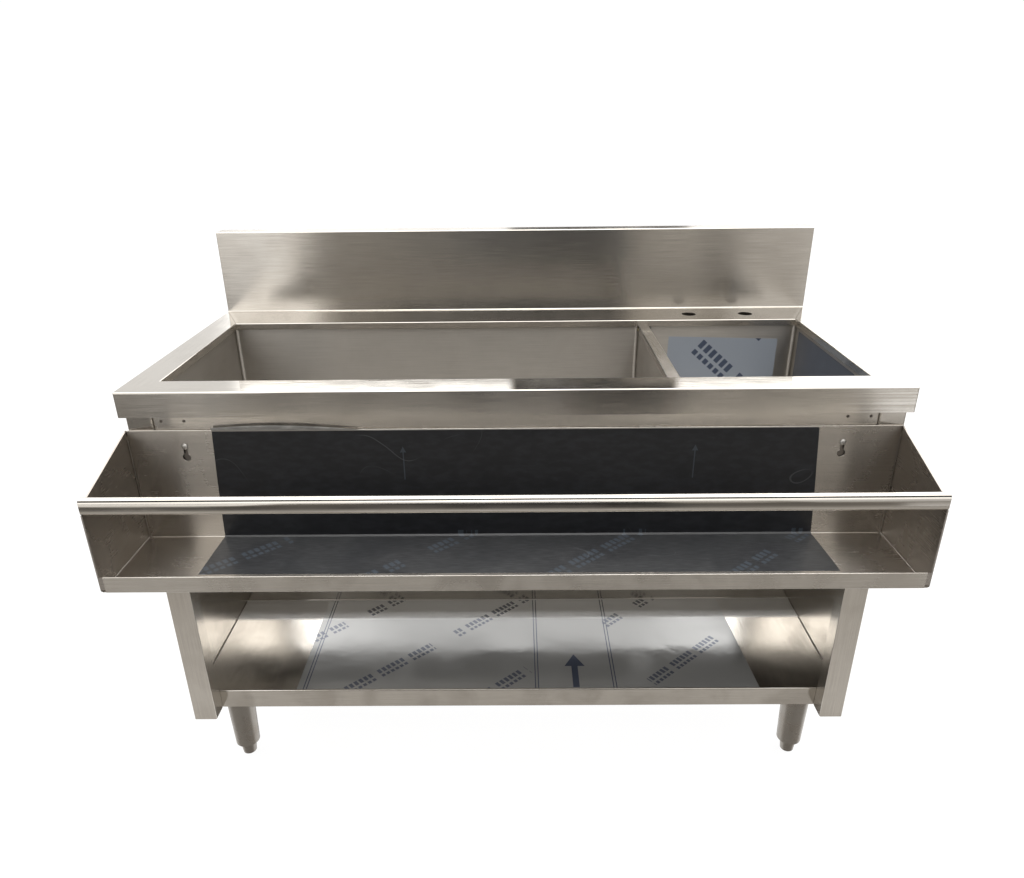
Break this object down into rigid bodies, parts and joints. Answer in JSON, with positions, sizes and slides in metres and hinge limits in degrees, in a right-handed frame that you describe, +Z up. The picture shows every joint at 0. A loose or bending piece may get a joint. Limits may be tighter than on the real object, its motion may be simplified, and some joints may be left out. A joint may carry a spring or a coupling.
{
  "type": "bar sink with ice bin",
  "caption": "Stainless bar station with a wide ice bin, a small sink, a splashback, a hanging bottle trough, a low shelf and adjustable feet.",
  "frame": {"origin": "on the floor, under the middle of the whole object", "axes": "+X to the right seen from the front, +Y to the back, +Z up"},
  "size_m": [1.5, 0.902, 1.15],
  "materials": {
    "stainless": "brushed",
    "stainless_plain": "mill",
    "zinc": "plated",
    "foam": "foamed",
    "rubber": "matte",
    "film_black": "thin film",
    "film_clear": "thin film",
    "film_blue": "thin film"
  },
  "bodies": {
    "frame": {"worktop": "stainless", "ice_bin_bowl": "stainless", "sink_bowl": "stainless", "bowl_divider": "stainless", "ice_bin_insulation": "foam", "ice_bin_casing": "stainless_plain", "front_panel": "stainless", "rear_panel": "stainless_plain", "side_panel_left": "stainless", "side_panel_right": "stainless", "front_rail": "stainless_plain", "rear_rail": "stainless_plain", "bottom_shelf": "stainless", "base_runner_left": "stainless_plain", "base_runner_right": "stainless_plain", "rear_stretcher": "stainless_plain", "foot_plates": "stainless_plain", "foot_body_front_left": "stainless", "foot_body_front_right": "stainless", "foot_body_rear_left": "stainless", "foot_body_rear_right": "stainless", "hanging_screws": "zinc", "rivet_nuts": "zinc", "panel_rivets": "stainless", "ice_bin_waste": "stainless", "ice_bin_waste_gasket": "rubber", "ice_bin_waste_nut": "stainless", "sink_waste": "stainless", "sink_waste_gasket": "rubber", "sink_waste_nut": "stainless", "shelf_film": "film_clear", "sink_film_back": "film_clear", "sink_film_side": "film_blue"},
    "trough": {"trough_tray": "stainless", "trough_end_left": "stainless", "trough_end_right": "stainless", "trough_front_rail": "stainless", "rail_cap_left": "stainless", "rail_cap_right": "stainless", "trough_film": "film_black"},
    "insert_front_left": {"foot_insert_front_left": "stainless"},
    "insert_front_right": {"foot_insert_front_right": "stainless"},
    "insert_rear_left": {"foot_insert_rear_left": "stainless"},
    "insert_rear_right": {"foot_insert_rear_right": "stainless"},
    "strainer": {"sink_strainer": "stainless"}
  },
  "joints": [
    {"name": "trough_lift", "type": "slide", "parent": "frame", "child": "trough", "axis": [0, 0, 1], "range_m": [0, 0.022]},
    {"name": "foot_adjust_front_left", "type": "slide", "parent": "frame", "child": "insert_front_left", "axis": [0, 0, -1], "range_m": [-0.015, 0.03]},
    {"name": "foot_adjust_front_right", "type": "slide", "parent": "frame", "child": "insert_front_right", "axis": [0, 0, -1], "range_m": [-0.015, 0.03]},
    {"name": "foot_adjust_rear_left", "type": "slide", "parent": "frame", "child": "insert_rear_left", "axis": [0, 0, -1], "range_m": [-0.015, 0.03]},
    {"name": "foot_adjust_rear_right", "type": "slide", "parent": "frame", "child": "insert_rear_right", "axis": [0, 0, -1], "range_m": [-0.015, 0.03]},
    {"name": "strainer_lift", "type": "slide", "parent": "frame", "child": "strainer", "axis": [0, 0, 1], "range_m": [0, 0.06]}
  ]
}
